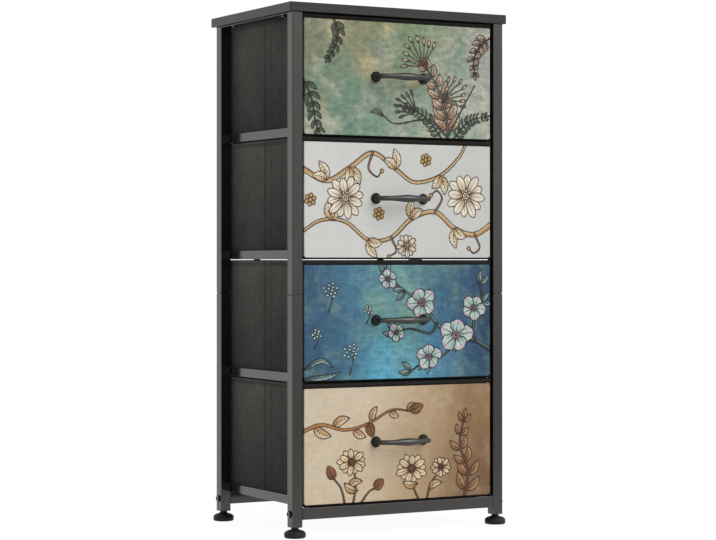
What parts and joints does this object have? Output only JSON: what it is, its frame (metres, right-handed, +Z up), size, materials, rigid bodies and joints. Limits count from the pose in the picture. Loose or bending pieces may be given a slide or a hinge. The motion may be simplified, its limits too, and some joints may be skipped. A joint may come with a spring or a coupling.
{
  "type": "fabric drawer dresser",
  "caption": "Narrow dresser: square steel tube frame on levelling feet, dark board on top, and cloth drawers with printed fronts and bow handles that slide on side rails.",
  "frame": {"origin": "on the floor, under the middle of the box round the whole dresser, handles included", "axes": "+Z up, +X to the right seen from the front, -Y out of the drawer fronts"},
  "size_m": [0.427, 0.3338, 0.8815],
  "materials": {
    "frame_steel": "satin dark grey powder coat",
    "top_board": "dark grey foil, fine dull grain",
    "foot_plastic": "moulded black",
    "black_fasteners": "black oxide",
    "drawer_cloth": "charcoal woven cloth over card",
    "bottom_board": "thin board covered in black cloth",
    "handle_metal": "dark gunmetal",
    "drawer_front_1": "printed cover, mottled green",
    "drawer_front_2": "printed cover, pale grey",
    "drawer_front_3": "printed cover, mottled blue",
    "drawer_front_4": "printed cover, beige to tan"
  },
  "bodies": {
    "frame": {"top_board": "top_board", "left_top_strap": "frame_steel", "right_top_strap": "frame_steel", "front_left_upper_post": "frame_steel", "front_left_lower_post": "frame_steel", "rear_left_upper_post": "frame_steel", "rear_left_lower_post": "frame_steel", "front_right_upper_post": "frame_steel", "front_right_lower_post": "frame_steel", "rear_right_upper_post": "frame_steel", "rear_right_lower_post": "frame_steel", "left_rail_1": "frame_steel", "right_rail_1": "frame_steel", "left_rail_2": "frame_steel", "right_rail_2": "frame_steel", "left_rail_3": "frame_steel", "right_rail_3": "frame_steel", "left_rail_4": "frame_steel", "right_rail_4": "frame_steel", "rear_bar_1": "frame_steel", "rear_bar_2": "frame_steel", "rear_bar_3": "frame_steel", "front_bottom_bar": "frame_steel", "rear_bottom_bar": "frame_steel", "front_left_bolt": "black_fasteners", "rear_left_bolt": "black_fasteners", "front_right_bolt": "black_fasteners", "rear_right_bolt": "black_fasteners", "left_front_strap_screw": "black_fasteners", "left_rear_strap_screw": "black_fasteners", "right_front_strap_screw": "black_fasteners", "right_rear_strap_screw": "black_fasteners"},
    "drawer_1": {"drawer_1_fabric_box": "drawer_cloth", "drawer_1_bottom_board": "bottom_board", "drawer_1_front_board": "drawer_front_1", "drawer_1_handle": "handle_metal", "drawer_1_left_handle_screw": "black_fasteners", "drawer_1_right_handle_screw": "black_fasteners"},
    "drawer_2": {"drawer_2_fabric_box": "drawer_cloth", "drawer_2_bottom_board": "bottom_board", "drawer_2_front_board": "drawer_front_2", "drawer_2_handle": "handle_metal", "drawer_2_left_handle_screw": "black_fasteners", "drawer_2_right_handle_screw": "black_fasteners"},
    "drawer_3": {"drawer_3_fabric_box": "drawer_cloth", "drawer_3_bottom_board": "bottom_board", "drawer_3_front_board": "drawer_front_3", "drawer_3_handle": "handle_metal", "drawer_3_left_handle_screw": "black_fasteners", "drawer_3_right_handle_screw": "black_fasteners"},
    "drawer_4": {"drawer_4_fabric_box": "drawer_cloth", "drawer_4_bottom_board": "bottom_board", "drawer_4_front_board": "drawer_front_4", "drawer_4_handle": "handle_metal", "drawer_4_left_handle_screw": "black_fasteners", "drawer_4_right_handle_screw": "black_fasteners"},
    "front_left_foot": {"front_left_foot": "foot_plastic"},
    "rear_left_foot": {"rear_left_foot": "foot_plastic"},
    "front_right_foot": {"front_right_foot": "foot_plastic"},
    "rear_right_foot": {"rear_right_foot": "foot_plastic"}
  },
  "joints": [
    {"name": "drawer_1_slide", "type": "slide", "parent": "frame", "child": "drawer_1", "axis": [0, -1, 0], "range_m": [0, 0.22]},
    {"name": "drawer_2_slide", "type": "slide", "parent": "frame", "child": "drawer_2", "axis": [0, -1, 0], "range_m": [0, 0.22]},
    {"name": "drawer_3_slide", "type": "slide", "parent": "frame", "child": "drawer_3", "axis": [0, -1, 0], "range_m": [0, 0.22]},
    {"name": "drawer_4_slide", "type": "slide", "parent": "frame", "child": "drawer_4", "axis": [0, -1, 0], "range_m": [0, 0.22]},
    {"name": "front_left_foot_turn", "type": "hinge", "parent": "frame", "child": "front_left_foot", "pos_m": [-0.1955, -0.12415, 0], "axis": [0, 0, 1], "continuous": true},
    {"name": "rear_left_foot_turn", "type": "hinge", "parent": "frame", "child": "rear_left_foot", "pos_m": [-0.1955, 0.14685, 0], "axis": [0, 0, 1], "continuous": true},
    {"name": "front_right_foot_turn", "type": "hinge", "parent": "frame", "child": "front_right_foot", "pos_m": [0.1955, -0.12415, 0], "axis": [0, 0, 1], "continuous": true},
    {"name": "rear_right_foot_turn", "type": "hinge", "parent": "frame", "child": "rear_right_foot", "pos_m": [0.1955, 0.14685, 0], "axis": [0, 0, 1], "continuous": true}
  ]
}
